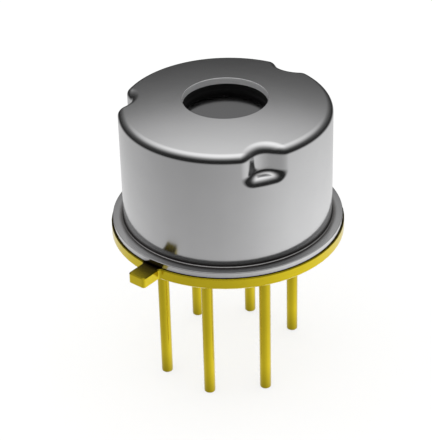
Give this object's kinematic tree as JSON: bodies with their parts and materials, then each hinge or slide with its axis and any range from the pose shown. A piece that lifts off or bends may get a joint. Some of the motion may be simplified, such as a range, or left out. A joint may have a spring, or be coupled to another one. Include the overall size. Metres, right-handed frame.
{
  "type": "thermopile infrared sensor in a round metal can",
  "caption": "Infrared temperature sensor: a satin nickel can with a round window over a gold-plated base with an orientation tab and straight round leads.",
  "frame": {"origin": "centre of the gold base's underside, the face that seats on a board", "axes": "+Z along the can's axis, out of the aperture; +X through one of the two empty lead places"},
  "size_m": [0.0092, 0.0097, 0.0116],
  "materials": {
    "gold_base": "gold plated, smooth",
    "gold_lead": "gold plated, smooth",
    "nickel_can": "drawn and nickel plated, satin",
    "filter": "polished coated silicon, opaque grey",
    "filter_bond": "dark epoxy",
    "seal_glass": "fused dark glass",
    "braze": "brazing alloy, satin",
    "silicon": "polished silicon",
    "absorber": "matt black",
    "die_bond": "silver-filled adhesive",
    "thermistor": "sintered ceramic with a metal top",
    "bond_wire": "drawn gold wire"
  },
  "bodies": {
    "root": {"absorber": "absorber", "cap": "nickel_can", "filter_bond": "filter_bond", "filter_window": "filter", "glass_seal_1": "seal_glass", "glass_seal_2": "seal_glass", "glass_seal_3": "seal_glass", "glass_seal_5": "seal_glass", "glass_seal_6": "seal_glass", "ground_braze": "braze", "header_base": "gold_base", "lead_1": "gold_lead", "lead_2": "gold_lead", "lead_3": "gold_lead", "lead_4": "gold_lead", "lead_5": "gold_lead", "lead_6": "gold_lead", "signal_bond": "die_bond", "signal_chip": "silicon", "thermistor_bond": "die_bond", "thermistor_chip": "thermistor", "thermopile_bond": "die_bond", "thermopile_chip": "silicon", "wire_ground": "bond_wire", "wire_lead_1": "bond_wire", "wire_lead_2": "bond_wire", "wire_lead_3": "bond_wire", "wire_lead_5": "bond_wire", "wire_lead_6": "bond_wire", "wire_thermopile_negative": "bond_wire", "wire_thermopile_positive": "bond_wire"}
  },
  "joints": []
}
